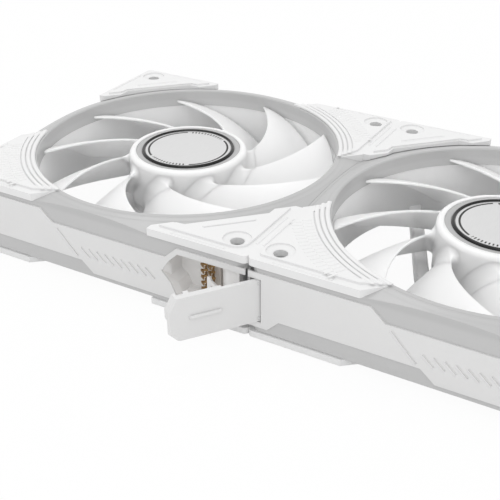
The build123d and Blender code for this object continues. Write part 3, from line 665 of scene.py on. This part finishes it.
loops = root_loops()
rows, columns = len(loops), profile_steps + 1
root = Shape()
root.add([point / mm for loop in loops for point in loop],
         [(i * columns + j, i * columns + j + 1,
           (i + 1) % rows * columns + j + 1, (i + 1) % rows * columns + j)
          for i in range(rows) for j in range(profile_steps)])
all_roots = Shape()
for blade in range(blade_count):
    all_roots.take(root, math.tau * blade / blade_count)
for side, centre_x in fan_centres.items():
    all_roots.piece(f"{side}_blade_roots", rotor_plastic, f"{side}_spinner", centre_x,
                    smooth_under=80.0)


# The hub's trim is let into the rotor: a grey satin ring, a dark mirror ring with a rounded
# back, and a silver disc printed with two fine black arcs and two rows of scale marks.
ring_grey = moulded("ring_grey", 180, 0.0, 0.3, skin_depth=0.004 * mm)
dress(ring_grey, both("hub_ring"))

bezel = Finish("dark_mirror")
bezel.surface(Base_Color=bezel.blend(bezel.grain(6 * mm), grey(44), grey(50)), Metallic=1.0,
              Roughness=0.14, Coat_Weight=0.3)
bezel_in, bezel_out = 15.82, 17.1
bezel_low_z, bezel_rise = 26.9, 0.95
bezel_steps = 12
bezel_round = 0.7
profile = []
for step in range(bezel_steps + 1):
    across = math.pi * step / bezel_steps
    profile.append(((bezel_in + bezel_out) / 2 - math.cos(across) * (bezel_out - bezel_in) / 2,
                    bezel_low_z + bezel_rise * math.sin(across) ** bezel_round))
bezel_ring = Shape()
bezel_ring.lathe(profile, segments=160)
for side, centre_x in fan_centres.items():
    ring = bezel_ring.piece(f"{side}_bezel_ring", bezel, f"{side}_spinner", centre_x)
    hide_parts(f"{side}_badge_bezel")

print_r, print_half = 14.55 * mm, 0.36 * mm
mark_r, mark_half = 14.3 * mm, 0.6 * mm
mark_step = math.radians(5.0)
mark_share = 0.42
mark_margin = math.radians(5.0)
gap_half = math.radians(34.0)
for side, centre_x in fan_centres.items():
    silver = Finish(f"{side}_badge_silver")
    east = silver.along("X") - centre_x
    north = silver.along("Y")
    radius = (east * east + north * north) ** 0.5
    angle = silver.node("ShaderNodeMath", {"operation": "ARCTAN2"}, {0: north, 1: east})
    from_pole = abs(abs(angle) - quarter)
    in_gap = from_pole < gap_half
    arc = (abs(radius - print_r) < print_half) * (1 - in_gap)
    sweep = silver.node("ShaderNodeMath", {"operation": "FRACT"}, {0: angle / mark_step})
    beside_arcs = from_pole < gap_half - mark_margin
    mark = (abs(radius - mark_r) < mark_half) * beside_arcs * (sweep < mark_share)
    ink = arc + mark
    brush = silver.grain(0.3 * mm, detail=3.0, stretch=(1.0, 0.06, 1.0))
    metal_tone = silver.blend(brush, grey(214), grey(226))
    silver.surface(Base_Color=silver.blend(ink, metal_tone, grey(22)), Metallic=0.55 - ink * 0.55,
                   Roughness=0.3 + ink * 0.2 + (brush - 0.5) * 0.08)
    dress(silver, [f"{side}_badge_disc"])


# The connector bay is a moulded tray behind the front panel. An ivory block at its back holds
# two columns of bent gold-flashed springs, which press on the next fan's contacts.
dress(moulded("bay_plastic", 234, 1.0, 0.45), both("connector_bay"))
dress(moulded("block_ivory", 214, 6.0, 0.5), both("contact_block"))
gold = Finish("contact_gold")
tarnish = gold.grain(0.9 * mm, detail=3.0)
gold_low, gold_high = (0.26, 0.15, 0.06, 1), (0.46, 0.30, 0.14, 1)
gold.surface(Base_Color=gold.blend(tarnish, gold_low, gold_high), Metallic=0.85,
             Roughness=0.32 + tarnish * 0.15, Normal=gold.relief(tarnish, 0.01 * mm))
dress(gold, both("contact_fingers"))


# The link cover closes both bays. It is a thin white moulding with a raised grip bar, and turns
# on a drawn steel pin between the ears of a bracket behind the right fan's front wall.
dress(panel_plastic, ["link_cover"])
dress(frame_plastic, ["hinge_bracket"])
dress(drawn_steel, ["hinge_pin"])

hinge = Vector((3.4, -58.85, 0))
cover_open = math.radians(53.5)
grip_low, grip_high, grip_z = 12.9, 21.9, 14.8
grip_y = -60.38
grip_w, grip_h, grip_steps = 1.15, 0.45, 8
grip = Shape()
grip.bead([Vector((-grip_low - (grip_high - grip_low) * step / grip_steps, grip_y - hinge.y, grip_z))
           for step in range(grip_steps + 1)], forward, grip_w, grip_h)
swung_grip = Shape()
swung_grip.take(grip, cover_open)
swung_grip.points = [point + hinge for point in swung_grip.points]
swung_grip.piece("cover_grip", panel_plastic, "link_door")
